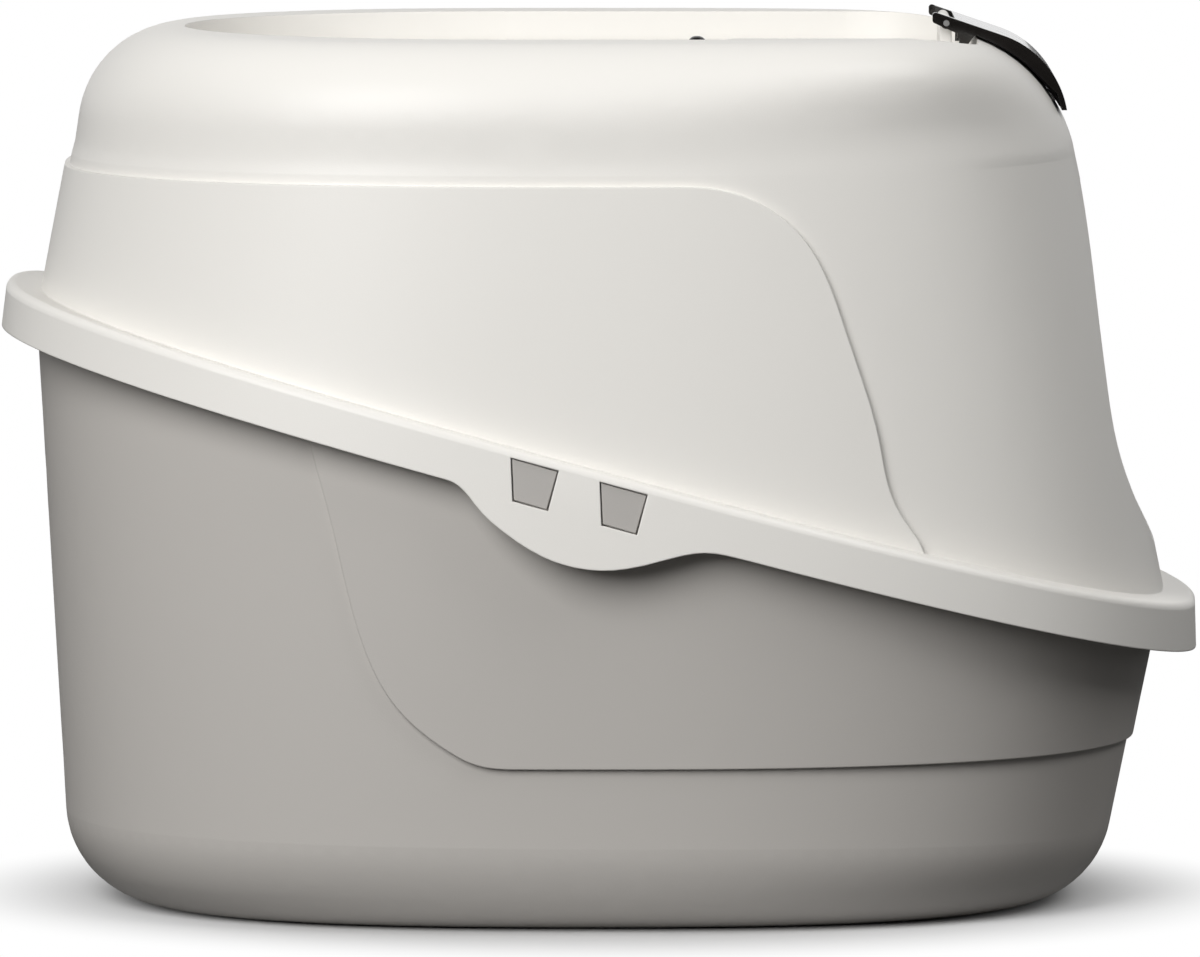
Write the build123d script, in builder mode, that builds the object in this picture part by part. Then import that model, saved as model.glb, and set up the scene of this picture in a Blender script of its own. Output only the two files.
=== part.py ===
from build123d import *
import math
import os

# Covered litter box. Millimetres and degrees.
# +X is the front, where the doorway is, and +Z is up.
# The origin is on the floor, under the middle of the rim.

# Overall sizes
length = 610.0
width = 470.0
height = 444.0
wall = 3.0
running_gap = 0.05
seat_gap = 0.1
loose_gap = 0.8

# Every plan outline is an oval with flattened sides. The hood's front shoulder grows squarer.
oval_power = 2.5
shoulder_square = 2.0
oval_steps = 24
deep = 900.0
form_low = 60.0
form_high = 365.0

# The seam between pan and hood falls from the rear to the front
seam_tilt = 15.06
seam_height = 235.0
seam_fall = math.tan(math.radians(seam_tilt))

# Rim of the hood: a ledge with a skirt hanging from its edge
ledge_width = 18.0
skirt_drop = 24.0
skirt_rear_draft = 7.0
skirt_front_draft = 1.7
skirt_side_draft = 4.0
rim_edge_radius = 4.0
lobe_drop = 24.0

# Litter pan
pan_rear_reach = 270.5
pan_front_reach = 253.3
pan_half_width = 201.0
pan_rear_draft = 3.2
pan_front_draft = 11.5
pan_side_draft = 4.0
pan_bottom_radius = 48.0
pan_lip_drop = 12.0
panel_rise = 2.6
pan_panel_level = 85.0

# Hood
hood_rear_reach = 256.9
hood_front_reach = 228.7
hood_half_width = 203.0
hood_rear_draft = 10.8
hood_front_draft = 11.7
hood_side_draft = 4.0
rear_shoulder = 50.0
front_shoulder = 80.0
side_shoulder = 40.0
hood_panel_level = 375.0

# Snap windows in the lobes of the skirt, two on each side
window_rear = -44.2
window_pitch = 44.0
window_top_width = 23.8
window_bottom_width = 17.6
window_top_drop = 4.4
window_bottom_drop = 25.8
window_lean = 0.9
lug_gap = 0.7
lug_recess = 1.0
lug_apron = 7.0

# Doorway, an egg standing on its blunt end
doorway_half_width = 83.0
doorway_sill = 180.5
doorway_widest = 242.0
doorway_crown = 366.0
doorway_taper = 0.15
doorway_steps = 28

# Sunken top with the lid in it
top_rear = 50.0
top_rear_reach = 160.0
top_half_width = 133.0
top_front = 190.0
top_corner = 62.0
top_draft = 5.0
lid_seat = 426.0
seat_width = 12.0

# Lid
lid_thickness = 3.0
lid_gap = 1.2
lid_tail_half_width = 80.0
lid_tail_angle = 45.0
spine_half_width = 12.0
spine_rear = 63.0
spine_front = 164.0
spine_rise = 7.6
spine_draft = 7.6

# Lid hinge
hinge_place = -170.0
hinge_height = 430.5
hinge_rod_radius = 2.0
knuckle_radius = 4.4
knuckle_inner = 15.0
knuckle_width = 14.0
knuckle_root = 14.0
ear_width = 6.0
side_play = 0.4
hinge_clear = 7.0
hinge_shelf = 20.0

# Filter in the middle of the lid
filter_middle = -6.0
filter_half_length = 58.0
filter_half_width = 46.0
filter_corner = 16.0
filter_depth = 9.0
filter_floor = 2.0
filter_pad = 7.5
cover_lap = 7.0
cover_thickness = 2.5
cover_lip = 1.2
vent_width = 4.0
vent_length = 66.0
vent_pitch = 9.0
vent_count = 9
vent_shift = -9.0
knob_place = 49.5
knob_radius = 4.6
knob_neck_radius = 2.6
knob_neck_height = 1.4
knob_height = 6.8

# Latch at the front of the lid
latch_pin_place = 175.5
latch_pin_height = 447.2
latch_pin_radius = 1.5
latch_half_width = 41.0
latch_side = 3.0
latch_skin = 2.6
latch_tail = 168.5
latch_tail_height = 5.6
latch_tail_round = 1.5
latch_knee = 181.0
latch_knee_height = 442.0
latch_knee_drop = 2.4
latch_web_rear = 190.0
latch_web_front = 218.0
latch_rib = 2.4
latch_rib_place = 27.0
latch_rib_rear = 192.0
latch_rib_front = 222.0
latch_rib_tip = 414.0
latch_side_tip = 409.5
latch_lift = 1.8
nose_centre_x = 189.0
nose_centre_z = 395.0
nose_radius = 48.5
nose_tip = 403.0
nose_slope = 18.8
latch_clear = 4.5
boss_half_width = 33.6
boss_radius = 2.9
catch_place = 230.2
catch_height = 408.5
catch_radius = 2.3
catch_half_width = 18.0


def oval_points(rear, front, half_width, front_power):
    middle = (front + rear) / 2
    reach = (front - rear) / 2
    points = []
    for step in range(oval_steps):
        angle = 2 * math.pi * step / oval_steps
        power = front_power if math.cos(angle) > 0 else oval_power
        swell = (abs(math.cos(angle)) ** power + abs(math.sin(angle)) ** power) ** (-1 / power)
        points.append((middle + reach * swell * math.cos(angle), half_width * swell * math.sin(angle)))
    return points


def oval_stack(sections, straight):
    """Solid through ovals given as level, rear, front, half width and front power."""
    with BuildPart() as stack:
        for level, rear, front, half_width, front_power in sections:
            with BuildSketch(Plane.XY.offset(level)):
                with BuildLine():
                    Spline(*oval_points(rear, front, half_width, front_power), periodic=True)
                make_face()
        loft(ruled=straight)
    return stack.part


def seam_level(x):
    return seam_height - x * seam_fall


def seam_plane(drop):
    """The tilted plane that lies drop below the hood's ledge, measured upright."""
    normal = (math.sin(math.radians(seam_tilt)), 0, math.cos(math.radians(seam_tilt)))
    return Plane(origin=(0, 0, seam_height - drop), z_dir=normal)


def slope(draft):
    return math.tan(math.radians(draft))


# Tapered ovals: the rim band, the pan and the hood's straight part
def rim_section(level, inset):
    """The rim is widest along the lower edge of its skirt."""
    rise = level - seam_level(0) + skirt_drop
    end_fall = length / 2 * seam_fall
    rear = -(length / 2 - (rise - end_fall) * slope(skirt_rear_draft) - inset)
    front = length / 2 - (rise + end_fall) * slope(skirt_front_draft) - inset
    half_width = width / 2 - (rise + lobe_drop) * slope(skirt_side_draft) - inset
    return level, rear, front, half_width, oval_power


def rim_solid(inset):
    return oval_stack([rim_section(form_low, inset), rim_section(form_high, inset)], True)


def pan_section(level, inset):
    rear = -(pan_rear_reach + level * slope(pan_rear_draft) - inset)
    front = pan_front_reach + level * slope(pan_front_draft) - inset
    half_width = pan_half_width + level * slope(pan_side_draft) - inset
    return level, rear, front, half_width, oval_power


def shoulder_reach(level, reach, draft, radius, inset):
    """How far a drafted wall with a rounded shoulder stands out at a level."""
    centre_reach = reach - radius * math.tan(math.radians(90 - draft) / 2)
    centre_level = height - radius
    turn = centre_level + (radius - inset) * math.sin(math.radians(draft))
    if level <= turn:
        return reach + (height - level) * slope(draft) - inset / math.cos(math.radians(draft))
    rise = min(level - centre_level, radius - inset)
    return centre_reach + math.sqrt((radius - inset) ** 2 - rise**2)


def hood_section(level, inset):
    rear = -shoulder_reach(level, hood_rear_reach, hood_rear_draft, rear_shoulder, inset)
    front = shoulder_reach(level, hood_front_reach, hood_front_draft, front_shoulder, inset)
    half_width = shoulder_reach(level, hood_half_width, hood_side_draft, side_shoulder, inset)
    turn = height - front_shoulder * (1 - math.sin(math.radians(hood_front_draft)))
    rise = max(level - turn, 0) / (height - turn)
    return level, rear, front, half_width, oval_power + shoulder_square * rise**3


def hood_solid(inset):
    """Straight drafted walls, then the rounded shoulder."""
    levels = []
    for angle in (hood_front_draft, 25, 38, 50, 61, 71, 80, 90):
        rise = (front_shoulder - inset) * math.sin(math.radians(angle))
        levels.append(height - front_shoulder + rise)
    walls = oval_stack([hood_section(form_low, inset), hood_section(levels[0], inset)], True)
    shoulder = oval_stack([hood_section(level, inset) for level in levels], False)
    return walls + shoulder


def side_region(draw):
    """A shape drawn in the side view, pushed through the whole width."""
    with BuildPart() as region:
        with BuildSketch(Plane.XZ):
            with BuildLine():
                draw()
            make_face()
        extrude(amount=width, both=True)
    return region.part


# Raised panels of pan and hood, each edged by an S curve
def pan_panel_outline():
    curve = Spline(
        (-150, 275), (-144, 247), (-134, 210), (-119, 150), (-99, 113), (-74, 93), (-45, pan_panel_level),
        tangents=((0.2, -1), (1, 0)),
    )
    Polyline(curve @ 1, (deep, pan_panel_level), (deep, 275), curve @ 0)


def hood_panel_outline():
    curve = Spline(
        (40, hood_panel_level), (74, 369), (99, 351), (123.5, 298), (138.5, 249), (149, 212), (159, 197), (185, 183),
        tangents=((1, 0), (1, -seam_fall)),
    )
    Polyline(curve @ 1, (185, 120), (-deep, 120), (-deep, hood_panel_level), curve @ 0)


# Skirt with a lobe hanging down half way along
def skirt_outline():
    low = seam_height - skirt_drop
    lobe_rear = -76.0
    lobe_front = 74.0
    lobe = Spline(
        (lobe_rear, low - lobe_rear * seam_fall), (-60, 217), (-48, 206), (-25, 192.1), (2, 186.7), (25, 190),
        (50, 195.3), (lobe_front, low - lobe_front * seam_fall),
        tangents=((1, -seam_fall), (1, -seam_fall)),
    )
    Polyline(
        lobe @ 1, (deep, low - deep * seam_fall), (deep, seam_level(deep)), (-deep, seam_level(-deep)),
        (-deep, low + deep * seam_fall), lobe @ 0,
    )


# Lip of the pan, with an apron behind the windows
def lip_outline():
    top = wall + seat_gap
    low = top + pan_lip_drop
    apron_low = window_bottom_drop + lug_apron
    apron_rear = window_rear - lug_apron
    apron_front = window_rear + window_pitch + window_top_width + lug_apron
    Polyline(
        (-deep, seam_level(-deep) - top), (deep, seam_level(deep) - top), (deep, seam_level(deep) - low),
        (apron_front, seam_level(apron_front) - low), (apron_front, seam_level(apron_front) - apron_low),
        (apron_rear, seam_level(apron_rear) - apron_low), (apron_rear, seam_level(apron_rear) - low),
        (-deep, seam_level(-deep) - low), (-deep, seam_level(-deep) - top),
    )


def window_solid(index, gap):
    """One window's prism, its sides drawn in by a gap."""
    rear = window_rear + index * window_pitch
    front = rear + window_top_width
    low_rear = rear + window_lean
    low_front = low_rear + window_bottom_width
    top = window_top_drop + gap
    low = window_bottom_drop - gap

    def outline():
        Polyline(
            (rear + gap, seam_level(rear) - top), (front - gap, seam_level(front) - top),
            (low_front - gap, seam_level(low_front) - low), (low_rear + gap, seam_level(low_rear) - low),
            (rear + gap, seam_level(rear) - top),
        )

    return side_region(outline)


def top_outline(inset):
    """The sunken top's outline: a half ellipse at the rear, rounded corners in front."""
    Ellipse(top_rear_reach - inset, top_half_width - inset)
    front_half = Rectangle(
        top_rear + top_front - inset, 2 * (top_half_width - inset), align=(Align.MIN, Align.CENTER)
    )
    fillet(front_half.vertices().group_by(Axis.X)[-1], top_corner - inset)


top_plane = Plane(origin=(-top_rear, 0, 0))

# Litter pan
with BuildPart() as pan_tub:
    add(oval_stack([pan_section(0.0, 0.0), pan_section(form_high, 0.0)], True))
    fillet(pan_tub.faces().sort_by(Axis.Z)[0].edges(), pan_bottom_radius)

with BuildPart() as pan_space:
    add(oval_stack([pan_section(wall, wall), pan_section(form_high + wall, wall)], True))
    fillet(pan_space.faces().sort_by(Axis.Z)[0].edges(), pan_bottom_radius - wall)

with BuildPart() as pan_panel:
    add(oval_stack([pan_section(form_low, -panel_rise), pan_section(form_high, -panel_rise)], True))
    add(side_region(pan_panel_outline), mode=Mode.INTERSECT)

with BuildPart() as pan_lip_space:
    add(rim_solid(2 * wall + loose_gap))
    split(bisect_by=seam_plane(2 * wall + seat_gap), keep=Keep.BOTTOM)

with BuildPart() as pan_lip:
    add(rim_solid(wall + loose_gap))
    add(side_region(lip_outline), mode=Mode.INTERSECT)
    add(pan_lip_space.part, mode=Mode.SUBTRACT)

with BuildPart() as litter_pan:
    add(pan_tub.part)
    add(pan_panel.part)
    split(bisect_by=seam_plane(wall + seat_gap), keep=Keep.BOTTOM)
    add(pan_lip.part)
    add(pan_space.part, mode=Mode.SUBTRACT)

# Snap lugs that stand on the pan's apron and fill the hood's windows
with BuildPart() as pan_snap_lugs:
    for index in range(2):
        add(window_solid(index, lug_gap))
    add(rim_solid(lug_recess), mode=Mode.INTERSECT)
    add(rim_solid(wall + loose_gap), mode=Mode.SUBTRACT)

# Hood: skin, raised panel and rim, hollowed, then doorway, sunken top and windows
hood_full = hood_solid(0.0)
hood_hollow = hood_solid(wall)

with BuildPart() as hood_panel:
    panel_top = hood_panel_level + panel_rise
    add(oval_stack([hood_section(form_low, -panel_rise), hood_section(panel_top, -panel_rise)], True))
    add(side_region(hood_panel_outline), mode=Mode.INTERSECT)

with BuildPart() as rim_space:
    add(rim_solid(wall))
    split(bisect_by=seam_plane(wall), keep=Keep.BOTTOM)

with BuildPart() as hood_rim:
    add(rim_solid(0.0))
    add(side_region(skirt_outline), mode=Mode.INTERSECT)
    fillet(hood_rim.faces().sort_by(Axis((0, 0, 0), seam_plane(0).z_dir))[-1].edges(), rim_edge_radius)
    add(rim_space.part, mode=Mode.SUBTRACT)

with BuildPart() as top_bowl:
    with BuildSketch(top_plane.offset(lid_seat - wall)):
        top_outline(-wall)
    extrude(amount=height - lid_seat + 2 * wall, taper=-top_draft)
    add(hood_full, mode=Mode.INTERSECT)

with BuildPart() as top_pocket:
    with BuildSketch(top_plane.offset(lid_seat)):
        top_outline(0.0)
    extrude(amount=height - lid_seat + 2 * wall, taper=-top_draft)

with BuildPart() as hood:
    add(hood_full)
    add(hood_panel.part)
    split(bisect_by=seam_plane(wall), keep=Keep.TOP)
    add(hood_rim.part)
    add(hood_hollow, mode=Mode.SUBTRACT)
    for index in range(2):
        add(window_solid(index, 0.0), mode=Mode.SUBTRACT)
    with BuildSketch(Plane.YZ):
        with BuildLine():
            doorway_points = []
            for step in range(doorway_steps):
                angle = 2 * math.pi * step / doorway_steps
                rise = math.sin(angle)
                reach = doorway_crown - doorway_widest if rise > 0 else doorway_widest - doorway_sill
                narrow = 1 - doorway_taper * max(rise, 0)
                doorway_points.append(
                    (doorway_half_width * math.cos(angle) * narrow, doorway_widest + reach * rise)
                )
            Spline(*doorway_points, periodic=True)
        make_face()
    extrude(amount=deep, mode=Mode.SUBTRACT)
    add(top_bowl.part)
    add(top_pocket.part, mode=Mode.SUBTRACT)
    with BuildSketch(top_plane.offset(lid_seat - 2 * wall)):
        top_outline(seat_width)
        with Locations((hinge_place + top_rear, 0)):
            Rectangle(4 * hinge_shelf, width, mode=Mode.SUBTRACT)
    extrude(amount=3 * wall, mode=Mode.SUBTRACT)
    ear_inner = knuckle_inner + knuckle_width + side_play
    for side in (-1, 1):
        with BuildSketch(Plane.XZ.offset(side * (ear_inner + ear_width / 2))):
            with Locations((hinge_place, hinge_height)):
                Circle(knuckle_radius)
                Rectangle(2 * knuckle_radius, hinge_height - lid_seat + wall / 2, align=(Align.CENTER, Align.MAX))
        extrude(amount=ear_width / 2, both=True)
    with Locations(Location((hinge_place, 0, hinge_height), (90, 0, 0))):
        Cylinder(hinge_rod_radius, 3 * ear_inner, mode=Mode.SUBTRACT)
    with Locations(Location((catch_place, 0, catch_height), (90, 0, 0))):
        Cylinder(catch_radius, 2 * catch_half_width)

# Rod of the lid's hinge, held by the hood's ears
with BuildPart() as lid_hinge_rod:
    with Locations(Location((hinge_place, 0, hinge_height), (90, 0, 0))):
        Cylinder(hinge_rod_radius, 2 * (ear_inner + ear_width))

# Lid: plate, filter well, spine, hinge knuckles and latch boss
lid_low = lid_seat + seat_gap
lid_top = lid_low + lid_thickness
well_floor = lid_top - filter_depth


def vents():
    with Locations((vent_shift, 0)):
        with GridLocations(vent_pitch, 0, vent_count, 1):
            SlotOverall(vent_length, vent_width, rotation=90)


filter_plane = Plane(origin=(filter_middle, 0, 0))

with BuildPart() as top_lid:
    with BuildSketch(top_plane.offset(lid_low)):
        top_outline(lid_gap)
        lid_rear = hinge_place + hinge_clear + top_rear
        with Locations((lid_rear, 0)):
            Rectangle(width, width, align=(Align.MAX, Align.CENTER), mode=Mode.SUBTRACT)
        for side, away in ((1, Align.MIN), (-1, Align.MAX)):
            with Locations(Location((lid_rear, side * lid_tail_half_width, 0), (0, 0, side * lid_tail_angle))):
                Rectangle(width, width, align=(Align.CENTER, away), mode=Mode.SUBTRACT)
    extrude(amount=lid_thickness)
    with BuildSketch(filter_plane.offset(well_floor - filter_floor)):
        RectangleRounded(
            2 * (filter_half_length + filter_floor), 2 * (filter_half_width + filter_floor),
            filter_corner + filter_floor,
        )
    extrude(amount=filter_depth)
    with BuildSketch(filter_plane.offset(well_floor)):
        RectangleRounded(2 * filter_half_length, 2 * filter_half_width, filter_corner)
    extrude(amount=2 * filter_depth, mode=Mode.SUBTRACT)
    with BuildSketch(filter_plane.offset(well_floor - 2 * filter_floor)):
        vents()
    extrude(amount=3 * filter_floor, mode=Mode.SUBTRACT)
    with BuildSketch(Plane.XY.offset(lid_low)):
        with Locations(((spine_rear + spine_front) / 2, 0)):
            RectangleRounded(spine_front - spine_rear, 2 * spine_half_width, spine_half_width / 2)
    extrude(amount=lid_thickness + spine_rise, taper=spine_draft)
    fillet(top_lid.faces().sort_by(Axis.Z)[-1].edges(), lid_thickness)
    for side in (-1, 1):
        with BuildSketch(Plane.XZ.offset(side * (knuckle_inner + knuckle_width / 2))):
            with BuildLine():
                Polyline(
                    (hinge_place, lid_low), (hinge_place + knuckle_root, lid_low),
                    (hinge_place + knuckle_root, lid_top), (hinge_place, hinge_height + knuckle_radius),
                    (hinge_place, lid_low),
                )
            make_face()
            with Locations((hinge_place, hinge_height)):
                Circle(knuckle_radius)
        extrude(amount=knuckle_width / 2, both=True)
    with Locations(Location((hinge_place, 0, hinge_height), (90, 0, 0))):
        Cylinder(hinge_rod_radius + running_gap, 3 * ear_inner, mode=Mode.SUBTRACT)
    with BuildSketch(Plane.XZ):
        with Locations((latch_pin_place, latch_pin_height)):
            Circle(boss_radius)
            Rectangle(2 * boss_radius, latch_pin_height - lid_low, align=(Align.CENTER, Align.MAX))
    extrude(amount=boss_half_width, both=True)
    with Locations(Location((latch_pin_place, 0, latch_pin_height), (90, 0, 0))):
        Cylinder(latch_pin_radius, 3 * boss_half_width, mode=Mode.SUBTRACT)

# Filter pad in the lid's well
with BuildPart() as charcoal_filter:
    with BuildSketch(filter_plane.offset(well_floor + seat_gap)):
        RectangleRounded(
            2 * (filter_half_length - loose_gap), 2 * (filter_half_width - loose_gap), filter_corner - loose_gap
        )
    extrude(amount=filter_pad)

# Vented cover over the filter
cover_low = lid_top + seat_gap
cover_top = cover_low + cover_thickness

with BuildPart() as filter_cover:
    with BuildSketch(filter_plane.offset(cover_low)):
        RectangleRounded(
            2 * (filter_half_length + cover_lap), 2 * (filter_half_width + cover_lap), filter_corner + cover_lap
        )
    extrude(amount=cover_thickness)
    fillet(filter_cover.faces().sort_by(Axis.Z)[-1].edges(), cover_lip)
    with BuildSketch(filter_plane.offset(cover_low - cover_lip)):
        RectangleRounded(
            2 * (filter_half_length - loose_gap), 2 * (filter_half_width - loose_gap), filter_corner - loose_gap
        )
        RectangleRounded(
            2 * (filter_half_length - wall), 2 * (filter_half_width - wall), filter_corner - wall,
            mode=Mode.SUBTRACT,
        )
    extrude(amount=cover_lip)
    with BuildSketch(filter_plane.offset(cover_low - cover_lip)):
        vents()
    extrude(amount=2 * cover_thickness, mode=Mode.SUBTRACT)

# Pull knob on the cover
with BuildPart() as filter_knob:
    with BuildSketch(Plane.XZ):
        with BuildLine():
            dome_foot = (knob_radius, knob_neck_height)
            dome = ThreePointArc(
                (0, knob_height), (knob_radius * math.cos(math.pi / 4), knob_height * math.sin(math.pi / 3)), dome_foot
            )
            Polyline(dome @ 1, (knob_neck_radius, knob_neck_height), (knob_neck_radius, 0), (0, 0), dome @ 0)
        make_face()
    revolve(axis=Axis.Z)
filter_knob.part = filter_knob.part.moved(Location((knob_place, 0, cover_top)))

# Latch: a curved handle whose ears ride on the pin and whose nose hooks over the hood's front
nose_centre = (nose_centre_x, nose_centre_z)
slope_across = math.sin(math.radians(nose_slope))
slope_up = math.cos(math.radians(nose_slope))


def nose_point(radius):
    return nose_centre_x + math.sqrt(radius**2 - (nose_tip - nose_centre_z) ** 2), nose_tip


def bend_point(radius):
    return nose_centre_x + radius * slope_across, nose_centre_z + radius * slope_up


def back_point(x, radius):
    """A point on the straight back of the handle, which runs on from the bend."""
    bend = bend_point(radius)
    return x, bend[1] + (bend[0] - x) * slope(nose_slope)


def over_shoulder(x):
    """A point just over the hood's front shoulder."""
    centre_x = hood_front_reach - front_shoulder * math.tan(math.radians(90 - hood_front_draft) / 2)
    radius = front_shoulder + latch_lift
    return x, height - front_shoulder + math.sqrt(radius**2 - (x - centre_x) ** 2)


def latch_band():
    """Side view of the handle's top skin."""
    inner = nose_radius - latch_skin
    tail = latch_tail + 2 * latch_tail_round
    Line(back_point(tail, nose_radius), bend_point(nose_radius))
    TangentArc(bend_point(nose_radius), nose_point(nose_radius), tangent=(slope_up, -slope_across))
    Line(nose_point(nose_radius), nose_point(inner))
    TangentArc(bend_point(inner), nose_point(inner), tangent=(slope_up, -slope_across))
    Line(bend_point(inner), back_point(tail, inner))
    Line(back_point(tail, inner), back_point(tail, nose_radius))


def latch_web(rear, front, tip):
    """Side view of a web that hangs from the skin down to the hood."""
    middle = nose_radius - latch_skin / 2
    Line(back_point(rear, middle), bend_point(middle))
    TangentArc(bend_point(middle), tip, tangent=(slope_up, -slope_across))
    Line(tip, over_shoulder(front))
    ThreePointArc(over_shoulder(front), over_shoulder((rear + front) / 2), over_shoulder(rear))
    Line(over_shoulder(rear), back_point(rear, middle))


def web_tip(level):
    """Where a web runs out, in the middle of the nose's skin."""
    radius = nose_radius - latch_skin / 2
    return nose_centre_x + math.sqrt(radius**2 - (level - nose_centre_z) ** 2), level


with BuildPart() as latch_handle:
    with BuildSketch(Plane.XZ):
        with BuildLine():
            latch_band()
        make_face()
    extrude(amount=latch_half_width, both=True)
    for side in (-1, 1):
        with BuildSketch(Plane.XZ.offset(side * (latch_half_width - latch_side / 2))) as web:
            with BuildLine():
                latch_web(latch_web_rear, latch_web_front, web_tip(latch_side_tip))
            make_face()
            with BuildLine():
                tail_low = back_point(latch_tail, nose_radius)[1] - latch_tail_height
                Polyline(
                    back_point(latch_tail, nose_radius), (latch_tail, tail_low), (latch_knee, latch_knee_height),
                    (latch_knee, latch_knee_height - latch_knee_drop), over_shoulder(latch_web_rear),
                    back_point(latch_rib_rear, nose_radius), back_point(latch_tail, nose_radius),
                )
            make_face()
            fillet(web.vertices().group_by(Axis.X)[0], latch_tail_round)
        extrude(amount=latch_side / 2, both=True)
        with BuildSketch(Plane.XZ.offset(side * latch_rib_place)):
            with BuildLine():
                latch_web(latch_rib_rear, latch_rib_front, web_tip(latch_rib_tip))
            make_face()
        extrude(amount=latch_rib / 2, both=True)
    for side in (-1, 1):
        with BuildSketch(Plane.XZ.offset(side * (latch_half_width + boss_half_width + side_play) / 2)):
            with Locations((latch_pin_place, latch_pin_height)):
                Circle(boss_radius)
        extrude(amount=(latch_half_width - boss_half_width - side_play) / 2, both=True)
    with Locations((latch_pin_place + latch_clear, 0, latch_pin_height)):
        Box(
            4 * latch_clear, 2 * (boss_half_width + side_play), 8 * latch_clear,
            align=(Align.MAX, Align.CENTER, Align.CENTER), mode=Mode.SUBTRACT,
        )
    with Locations(Location((latch_pin_place, 0, latch_pin_height), (90, 0, 0))):
        Cylinder(latch_pin_radius + running_gap, 3 * latch_half_width, mode=Mode.SUBTRACT)

# Pin of the latch, held by the lid's boss
with BuildPart() as latch_pin:
    with Locations(Location((latch_pin_place, 0, latch_pin_height), (90, 0, 0))):
        Cylinder(latch_pin_radius, 2 * (latch_half_width - running_gap))

os.makedirs("parts", exist_ok=True)
for piece, label in (
    (litter_pan, "litter_pan"),
    (pan_snap_lugs, "pan_snap_lugs"),
    (hood, "hood"),
    (lid_hinge_rod, "lid_hinge_rod"),
    (top_lid, "top_lid"),
    (charcoal_filter, "charcoal_filter"),
    (filter_cover, "filter_cover"),
    (filter_knob, "filter_knob"),
    (latch_handle, "latch_handle"),
    (latch_pin, "latch_pin"),
):
    piece.part.label = label
    export_step(piece.part, f"parts/{label}.step")
    print(label, len(piece.part.solids()), round(piece.part.volume))
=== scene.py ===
# %% [markdown]
# # A covered litter box
# The box has four main mouldings: a deep pan, a hood that clips over it, a lid sunk in the hood's top and
# a black latch. The solids come packed in one frame, in metres, with +X to the doorway and +Z up. This
# lesson dresses them: it mixes the plastics, adds a soft pad and the latch's ribs, and sets up the
# studio.

# %% Load the frame
import math

import bmesh
import bpy
from mathutils import Matrix, Vector


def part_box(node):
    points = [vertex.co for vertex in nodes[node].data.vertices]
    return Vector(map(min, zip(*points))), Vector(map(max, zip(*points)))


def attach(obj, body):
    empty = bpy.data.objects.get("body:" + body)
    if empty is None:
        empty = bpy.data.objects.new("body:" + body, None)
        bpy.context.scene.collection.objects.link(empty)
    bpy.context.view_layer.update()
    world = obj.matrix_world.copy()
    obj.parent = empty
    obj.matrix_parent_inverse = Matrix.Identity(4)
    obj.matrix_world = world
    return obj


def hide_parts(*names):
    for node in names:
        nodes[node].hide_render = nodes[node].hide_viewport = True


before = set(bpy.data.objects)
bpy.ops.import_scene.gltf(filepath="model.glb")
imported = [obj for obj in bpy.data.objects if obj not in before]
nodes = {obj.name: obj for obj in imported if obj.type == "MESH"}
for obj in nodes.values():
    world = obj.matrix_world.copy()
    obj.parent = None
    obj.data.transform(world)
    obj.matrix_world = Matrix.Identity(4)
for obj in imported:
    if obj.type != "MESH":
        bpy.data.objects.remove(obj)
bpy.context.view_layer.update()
print("nodes:", sorted(nodes))


# %% [markdown]
# Shader nodes could be wired by hand, one by one, but shader maths reads best as maths. One function adds
# any node: its settings first, then its inputs. A small class wraps a socket, so that `a * 0.5 + b` adds
# Math nodes.

# %% Nodes and a socket that knows arithmetic
def add_node(tree, kind, settings, inputs, output=0):
    """A new node, with a value or a wire on each named or numbered input, as the wire from one output."""
    node = tree.nodes.new(kind)
    for key, value in settings.items():
        setattr(node, key, value)
    for key, value in inputs.items():
        if isinstance(value, Wire):
            tree.links.new(value.socket, node.inputs[key])
        else:
            node.inputs[key].default_value = value
    return Wire(tree, node.outputs[output])


class Wire:
    def __init__(self, tree, socket):
        self.tree = tree
        self.socket = socket

    def maths(self, operation, other):
        return add_node(self.tree, "ShaderNodeMath", {"operation": operation}, {0: self, 1: other})

    def __add__(self, other):
        return self.maths("ADD", other)

    __radd__ = __add__

    def __mul__(self, other):
        return self.maths("MULTIPLY", other)

    __rmul__ = __mul__

    def __sub__(self, other):
        return self.maths("SUBTRACT", other)

    def __rsub__(self, other):
        return (self * -1.0) + other

    def band(self, low, high):
        """0 below low, 1 above high, smooth between."""
        smooth = {"interpolation_type": "SMOOTHSTEP"}
        limits = {"Value": self, "From Min": low, "From Max": high}
        return add_node(self.tree, "ShaderNodeMapRange", smooth, limits, "Result")


print("shader maths ready")


# %% [markdown]
# A material is a tree of nodes that ends in one shader. A second class holds that tree, and its methods
# are the few things that every finish here needs: noise, a mix of two colours, and a bump.

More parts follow.
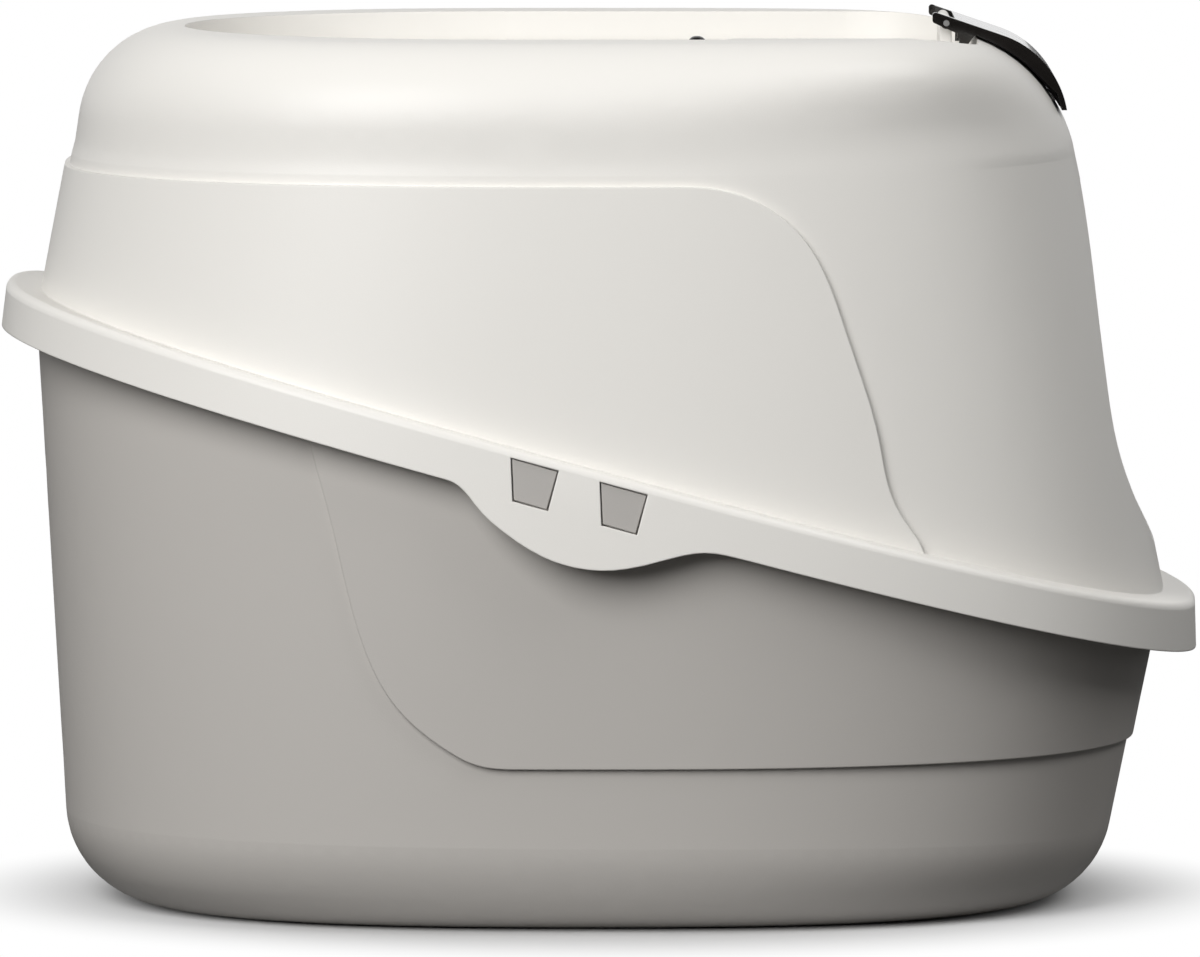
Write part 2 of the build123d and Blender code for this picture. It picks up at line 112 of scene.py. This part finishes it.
# %% One material and its nodes
class Finish:
    def __init__(self, name, shader):
        """A new material, with the given values on its shader's sockets."""
        self.material = bpy.data.materials.new(name)
        self.material.use_nodes = True
        self.tree = self.material.node_tree
        self.shader = self.tree.nodes["Principled BSDF"]
        self.place = self.node("ShaderNodeTexCoord", {}, {}, "Object")
        for socket, value in shader.items():
            self.shader.inputs[socket].default_value = value

    def node(self, kind, settings, inputs, output=0):
        return add_node(self.tree, kind, settings, inputs, output)

    def noise(self, scale, detail, stretch=None):
        """Noise over the object, with scale in patterns per metre."""
        place = self.place
        if stretch:
            place = self.node("ShaderNodeMapping", {}, {"Vector": self.place, "Scale": stretch})
        inputs = {"Vector": place, "Scale": scale, "Detail": detail}
        return self.node("ShaderNodeTexNoise", {}, inputs, "Fac")

    def mix(self, amount, first, second):
        """A colour between two. The Mix node's colours are its inputs 6 and 7, and its output 2."""
        return self.node("ShaderNodeMix", {"data_type": "RGBA"}, {0: amount, 6: first, 7: second}, 2)

    def bump(self, height, depth, round_edge=None):
        """Height from 0 to 1 stands for depth metres. A round_edge first softens the edges in shading."""
        relief = {"Height": height, "Distance": depth}
        if round_edge is not None:
            relief["Normal"] = self.node("ShaderNodeBevel", {"samples": 6}, {"Radius": round_edge})
        return self.node("ShaderNodeBump", {}, relief)

    def feed(self, wires):
        for socket, wire in wires.items():
            self.tree.links.new(wire.socket, self.shader.inputs[socket])
        return self.material


def colour(red, green, blue):
    return (red, green, blue, 1.0)


print("finishes can be mixed")

# %% [markdown]
# Polypropylene comes out of a mould with a fine spark-eroded grain, so it is satin and never as smooth
# as a mirror. Its colour drifts by a percent or two where the melt flowed. An image texture could show
# that, but noise on Object coordinates has no seams and no size limit. Three plastics share one recipe
# with their own colours: the snap lugs are the pan's own plastic, painted darker than its grey as
# painted shade for their recess in the hood's windows.

# %% Moulded plastics
cloud_scale = 7.0
flow_scale = 3.0
flow_stretch = (1.0, 1.0, 5.0)
peel_scale = 120.0
grain_scale = 1500.0
grain_depth = 0.00005
moulded_edge = 0.0011


def moulded_plastic(name, base, drift, rough):
    """Base and drift are the two ends of the colour, and the noise moves the roughness about rough."""
    finish = Finish(name, {"IOR": 1.48, "Specular IOR Level": 0.45})
    cloud = finish.noise(cloud_scale, 4.0)
    flow = finish.noise(flow_scale, 2.0, flow_stretch)
    grain = finish.noise(grain_scale, 2.0)
    orange_peel = finish.noise(peel_scale, 2.0)
    return finish.feed({
        "Base Color": finish.mix(cloud * 0.5 + flow * 0.3 + grain * 0.2, base, drift),
        "Roughness": rough - 0.06 + cloud * 0.07 + grain * 0.06,
        "Normal": finish.bump(grain * 0.7 + orange_peel * 0.3, grain_depth, moulded_edge),
    })


hood_white = (colour(0.815, 0.795, 0.755), colour(0.79, 0.77, 0.73))
pan_grey = (colour(0.555, 0.530, 0.498), colour(0.525, 0.501, 0.471))
# The lugs' grey is painted shade: the pan's grey, darkened for the shade in the hood's windows.
lug_shaded_grey = (colour(0.465, 0.445, 0.420), colour(0.435, 0.416, 0.393))
hood_plastic = moulded_plastic("hood_plastic", *hood_white, 0.43)
pan_plastic = moulded_plastic("pan_plastic", *pan_grey, 0.46)
lug_shaded_plastic = moulded_plastic("lug_shaded_plastic", *lug_shaded_grey, 0.5)
print("plastics ready")

# %% [markdown]
# The latch and the knob are polished black plastic. A coat over a dark body gives their sharp white
# reflection, and faint smudges keep it from looking perfect. The rods are drawn wire, so their scratches
# run along them: a noise stretched in Y does that. The pad is an open mat of fibre full of charcoal, so
# it is rough and deep in relief.

# %% Black gloss, wire and charcoal
smudge_scale = 60.0
ripple_scale = 90.0
ripple_depth = 0.00004
gloss_edge = 0.0005
scratch_scale = 900.0
scratch_stretch = (1.0, 0.03, 1.0)
scratch_depth = 0.00003
fibre_scale = 700.0
fibre_grey = colour(0.07, 0.07, 0.07)
charcoal_black = colour(0.012, 0.012, 0.012)
crumb_scale = 420.0
fibre_depth = 0.0006


def gloss_black():
    finish = Finish("black_gloss", {"IOR": 1.5, "Coat Roughness": 0.05})
    smudge = finish.noise(smudge_scale, 4.0)
    return finish.feed({
        "Base Color": finish.mix(smudge, colour(0.006, 0.0055, 0.005), colour(0.012, 0.010, 0.009)),
        "Roughness": smudge * 0.10 + 0.10,
        "Coat Weight": smudge.band(0.2, 0.6) * 0.3 + 0.5,
        "Normal": finish.bump(finish.noise(ripple_scale, 1.0), ripple_depth, gloss_edge),
    })


def drawn_wire():
    finish = Finish("drawn_wire", {"IOR": 2.0, "Metallic": 1.0})
    scratches = finish.noise(scratch_scale, 3.0, scratch_stretch)
    return finish.feed({
        "Base Color": finish.mix(scratches, colour(0.52, 0.52, 0.53), colour(0.66, 0.66, 0.66)),
        "Roughness": scratches * 0.2 + 0.22,
        "Normal": finish.bump(scratches, scratch_depth),
    })


def charcoal_fibre():
    finish = Finish("charcoal_fibre", {"IOR": 1.4})
    fibres = finish.noise(fibre_scale, 6.0)
    cells = {"Vector": finish.place, "Scale": crumb_scale}
    crumbs = finish.node("ShaderNodeTexVoronoi", {}, cells, "Distance")
    return finish.feed({
        "Base Color": finish.mix(fibres.band(0.35, 0.7), charcoal_black, fibre_grey),
        "Roughness": fibres * 0.2 + 0.75,
        "Normal": finish.bump(fibres * 0.6 + crumbs * 0.4, fibre_depth),
    })


black_gloss = gloss_black()
rod_wire = drawn_wire()
charcoal = charcoal_fibre()
print("small finishes ready")

# %% [markdown]
# The solids already have the right shape, and they must stay where they are, so each one only takes its
# finish in its own material slots.

# %% Dress the solids
finishes = {
    "litter_pan": pan_plastic,
    "pan_snap_lugs": lug_shaded_plastic,
    "hood": hood_plastic,
    "top_lid": hood_plastic,
    "filter_cover": hood_plastic,
    "filter_knob": black_gloss,
    "latch_handle": black_gloss,
    "lid_hinge_rod": rod_wire,
    "latch_pin": rod_wire,
}
for name, finish in finishes.items():
    solid = nodes[name]
    if not solid.data.materials:
        solid.data.materials.append(finish)
    for index in range(len(solid.data.materials)):
        solid.data.materials[index] = finish
    print(name, len(solid.data.polygons), "faces")


# %% [markdown]
# A new piece is modelled in a bmesh, in its real place, and then becomes an object that stays at the
# origin, as the solids' objects do. One helper does that for every piece.

# %% From a bmesh to an object
def make_object(name, work, finish):
    mesh = bpy.data.meshes.new(name)
    work.to_mesh(mesh)
    work.free()
    mesh.materials.append(finish)
    made = bpy.data.objects.new(name, mesh)
    bpy.context.scene.collection.objects.link(made)
    print(name, len(mesh.polygons), "faces")
    return made


print("objects can be made")

# %% [markdown]
# The charcoal pad is the one soft piece: a mat of fibre with rolled edges, which lies in the lid's well
# and lifts out with the filter's cover. A cloth simulation would be wasted on a mat this stiff. A square
# grid becomes its rounded outline, low waves keep it from looking machined, and a second, flatter layer
# closes it underneath.

# %% Charcoal pad
pad_low, pad_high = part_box("charcoal_filter")
pad_half_length = (pad_high.x - pad_low.x) / 2.0
pad_half_width = (pad_high.y - pad_low.y) / 2.0
pad_middle = (pad_high.x + pad_low.x) / 2.0
pad_thickness = pad_high.z - pad_low.z
pad_cells = (72, 58)
pad_corner = 0.0152
pad_roll = 0.0035
pad_tuck = 0.012
pad_edge_level = 0.60
pad_top_level = 0.95
pad_under_gap = 0.0002
pad_under_share = 0.22
wave_height = 0.00018
broad_wave = (130.0, 170.0)
broad_start = 1.3
fine_wave = (310.0, 260.0)
fine_share = 0.6


def pad_outline(x, y):
    """A point of the rectangle, moved so that the corners are round, and its distance from the edge."""
    edge = min(pad_half_length - abs(x), pad_half_width - abs(y))
    across = (abs(x) - pad_half_length + pad_corner) / pad_corner
    along = (abs(y) - pad_half_width + pad_corner) / pad_corner
    if across > 0.0 and along > 0.0:
        edge = pad_corner * (1.0 - max(across, along))
        reach_x = pad_corner * across * math.sqrt(1.0 - along**2 / 2.0)
        reach_y = pad_corner * along * math.sqrt(1.0 - across**2 / 2.0)
        x = math.copysign(pad_half_length - pad_corner + reach_x, x)
        y = math.copysign(pad_half_width - pad_corner + reach_y, y)
    return x, y, edge


def pad_top(x, y):
    """A point of the upper face, which rolls down at the edge and has a broad wave and a fine one."""
    x, y, edge = pad_outline(x, y)
    rolled = math.sin(min(edge / pad_roll, 1.0) * math.pi / 2.0)
    broad = math.sin(x * broad_wave[0] + broad_start) * math.sin(y * broad_wave[1])
    fine = fine_share * math.sin(x * fine_wave[0] - y * fine_wave[1])
    tuck = 1.0 - pad_tuck * (1.0 - rolled)
    level = pad_edge_level + (pad_top_level - pad_edge_level) * rolled
    height = pad_low.z + pad_thickness * level + wave_height * (broad + fine) * rolled
    return Vector((pad_middle + x * tuck, y * tuck, height))


def fibre_pad(name):
    work = bmesh.new()
    bmesh.ops.create_grid(work, x_segments=pad_cells[0], y_segments=pad_cells[1], size=1.0)
    for vert in work.verts:
        vert.co = pad_top(vert.co.x * pad_half_length, vert.co.y * pad_half_width)
    under = bmesh.ops.extrude_face_region(work, geom=work.faces[:])
    top = pad_low.z + pad_top_level * pad_thickness
    for vert in under["geom"]:
        if isinstance(vert, bmesh.types.BMVert):
            vert.co.z = pad_low.z + pad_under_gap + pad_under_share * (top - vert.co.z)
    bmesh.ops.recalc_face_normals(work, faces=work.faces[:])
    pad = make_object(name, work, charcoal)
    for face in pad.data.polygons:
        face.use_smooth = True
    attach(pad, "filter")
    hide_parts("charcoal_filter")


fibre_pad("charcoal_pad")

# %% [markdown]
# Black ribs under the latch put painted shade where light would show between it and the hood. Two
# crescents fill the room between its skin and the hood's shoulder, and a gusset behind each side web
# reaches down into the sunken top. They could be cut from blocks, but each is flat, so its side view is
# drawn once and pushed across the box.

# %% Ribs under the latch
# The side views are in millimetres: X to the front, Z up.
millimetre = 0.001
crescent_skin = {"centre": (189.0, 395.0), "radius": 45.8, "start": 18.8, "stop": 78.5}
crescent_shoulder = {"centre": (163.6, 364.0), "radius": 80.5, "start": 20.7, "stop": 59.9}
crescent_tail = (192.0, 442.3)
crescent_sides = (19.5, 25.7)
crescent_rim = 0.08
gusset = [(182.0, 441.6), (182.0, 433.8), (183.8, 433.8), (187.0, 437.0), (189.5, 440.4), (190.6, 441.7)]
gusset_sides = (38.3, 40.7)
gusset_rim = 0.3


def arc(centre, radius, start, stop, steps=24):
    """Points on a circle, by angle from upright towards the front."""
    turns = [math.radians(start + (stop - start) * step / steps) for step in range(steps + 1)]
    return [(centre[0] + radius * math.sin(turn), centre[1] + radius * math.cos(turn)) for turn in turns]


def prism(work, outline, side, sides, rim):
    """A closed prism from its side view, on the side of -1 or 1.

    The bevel has its default profile of 0, which cuts a small step into each rim. 0.5 would round it.
    """
    low, high = sorted(side * limit * millimetre for limit in sides)
    ring = [work.verts.new((x * millimetre, low, z * millimetre)) for x, z in outline]
    near = work.faces.new(ring)
    grown = bmesh.ops.extrude_face_region(work, geom=[near])
    fresh = [item for item in grown["geom"] if isinstance(item, bmesh.types.BMVert)]
    bmesh.ops.translate(work, verts=fresh, vec=(0.0, high - low, 0.0))
    skin = {face for vert in ring + fresh for face in vert.link_faces}
    bmesh.ops.recalc_face_normals(work, faces=list(skin))
    rims = {edge for face in skin if len(face.verts) > 4 for edge in face.edges}
    bmesh.ops.bevel(
        work, geom=list(rims), offset=rim * millimetre, segments=2, affect="EDGES", material=-1
    )


def latch_shade_ribs(name):
    crescent = [crescent_tail] + arc(**crescent_skin) + arc(**crescent_shoulder)[::-1]
    work = bmesh.new()
    for side in (-1.0, 1.0):
        prism(work, crescent, side, crescent_sides, crescent_rim)
        prism(work, gusset, side, gusset_sides, gusset_rim)
    # The ribs are black gloss pieces that paint the shade under the latch.
    ribs = make_object(name, work, black_gloss)
    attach(ribs, "latch")


latch_shade_ribs("latch_shade_ribs")

# %% [markdown]
# The studio looks white, but a white room would wash the box out. So the floor and the world are white to
# the camera alone, and quite dark to everything else, as if the box stood on a small table in a dark
# room. Near the box the floor is real paint and keeps the shadow, and its grey is darker than white as
# painted shade around the box's foot; further out it turns into plain white.

# %% Floor
floor_size = 30.0
table_stretch = 1.15
table_zone = (0.20, 0.26)
white_zone = (0.19, 0.31)
table_grey = colour(0.5, 0.5, 0.5)
room_grey = colour(0.06, 0.06, 0.06)
# The floor's grey near the box is painted shade, which deepens the contact shadow.
floor_grey_painted_shade = colour(0.70, 0.70, 0.70)


def floor_finish():
    finish = Finish("floor_paint", {"Roughness": 0.9, "Specular IOR Level": 0.1})
    seen = finish.node("ShaderNodeLightPath", {}, {}, "Is Camera Ray")
    squeeze = {"Vector": finish.place, "Scale": (1.0 / table_stretch, 1.0, 1.0)}
    squeezed = finish.node("ShaderNodeMapping", {}, squeeze)
    distance = finish.node("ShaderNodeVectorMath", {"operation": "LENGTH"}, {0: squeezed}, "Value")
    bounced = finish.mix(distance.band(*table_zone), table_grey, room_grey)
    finish.feed({"Base Color": finish.mix(seen, bounced, floor_grey_painted_shade)})
    paint = Wire(finish.tree, finish.shader.outputs[0])
    white = finish.node("ShaderNodeEmission", {}, {"Strength": seen})
    bare = distance.band(*white_zone) * seen
    surface = finish.node("ShaderNodeMixShader", {}, {0: bare, 1: paint, 2: white})
    finish.tree.links.new(surface.socket, finish.tree.nodes["Material Output"].inputs["Surface"])
    return finish.material


floor_work = bmesh.new()
bmesh.ops.create_grid(floor_work, x_segments=1, y_segments=1, size=floor_size)
make_object("floor", floor_work, floor_finish())

# %% [markdown]
# The world is one dim level, with a wall behind the box, which is the +Y side of the sky. Gloss sees the
# wall brightly, as the white streak on the latch. All else gets a weak light from it, so that the far
# side isn't black.

# %% World
wall_zone = (0.1, 0.6)


def studio_world(fill, wall_glow, wall_fill):
    """White to the camera. Otherwise fill all round, plus wall_glow in gloss or wall_fill from behind."""
    world = bpy.data.worlds.new("studio")
    bpy.context.scene.world = world
    world.use_nodes = True
    tree = world.node_tree
    seen = add_node(tree, "ShaderNodeLightPath", {}, {}, "Is Camera Ray")
    gloss = add_node(tree, "ShaderNodeLightPath", {}, {}, "Is Glossy Ray")
    place = add_node(tree, "ShaderNodeTexCoord", {}, {}, "Generated")
    depth = add_node(tree, "ShaderNodeSeparateXYZ", {}, {0: place}, "Y")
    wall = depth.band(*wall_zone) * (gloss * (wall_glow - wall_fill) + wall_fill)
    level = seen + (1.0 - seen) * (wall + fill)
    background = tree.nodes["Background"]
    background.inputs["Color"].default_value = colour(1.0, 1.0, 1.0)
    tree.links.new(level.socket, background.inputs["Strength"])


studio_world(fill=0.095, wall_glow=0.8, wall_fill=0.32)
print("world set")


# %% [markdown]
# Two large soft boxes light the box, because the photograph's shadows have no hard edge: a strong one on
# the camera's left, which brightens the rear of the hood, and a weak one on the upper right.

# %% Lamps
def soft_box(name, place, target, size, power):
    """A rectangular lamp, in metres and watts, that faces the target."""
    lamp = bpy.data.lights.new(name, "AREA")
    lamp.shape = "RECTANGLE"
    lamp.size, lamp.size_y = size
    lamp.energy = power
    holder = bpy.data.objects.new(name, lamp)
    bpy.context.scene.collection.objects.link(holder)
    aim = Vector(target) - Vector(place)
    holder.matrix_world = Matrix.Translation(place) @ aim.to_track_quat("-Z", "Y").to_matrix().to_4x4()
    print(name, power, "W")


soft_box("key", place=(-1.35, -2.45, 1.76), target=(0.0, 0.0, 0.2), size=(1.6, 2.2), power=92.0)
soft_box("upper_right", place=(1.5, -0.75, 2.1), target=(0.0, 0.0, 0.3), size=(1.6, 1.6), power=24.0)

# %% [markdown]
# The photograph is nearly a side view, taken with a long lens. The camera was fitted to its outline:
# seven metres away, five degrees above level. Its focal length is given in the photograph's own pixels.

# %% Camera
photo_width = 1200.0
focal_pixels = 13692.0
sensor_width = 36.0
camera_distance = 7.0
camera_pitch = math.radians(5.0)
camera_reach = 60.0
aim_point = Vector((0.0, 0.0, 0.212))

camera_data = bpy.data.cameras.new("camera")
camera_data.sensor_width = sensor_width
camera_data.lens = focal_pixels / photo_width * sensor_width
camera_data.clip_end = camera_reach
camera = bpy.data.objects.new("camera", camera_data)
bpy.context.scene.collection.objects.link(camera)
towards_camera = Vector((0.0, -math.cos(camera_pitch), math.sin(camera_pitch)))
camera.location = aim_point + camera_distance * towards_camera
camera.rotation_euler = (math.radians(90.0) - camera_pitch, 0.0, 0.0)
bpy.context.scene.camera = camera
bpy.context.scene.view_settings.view_transform = "Standard"
print("lens:", round(camera_data.lens, 1), "mm")
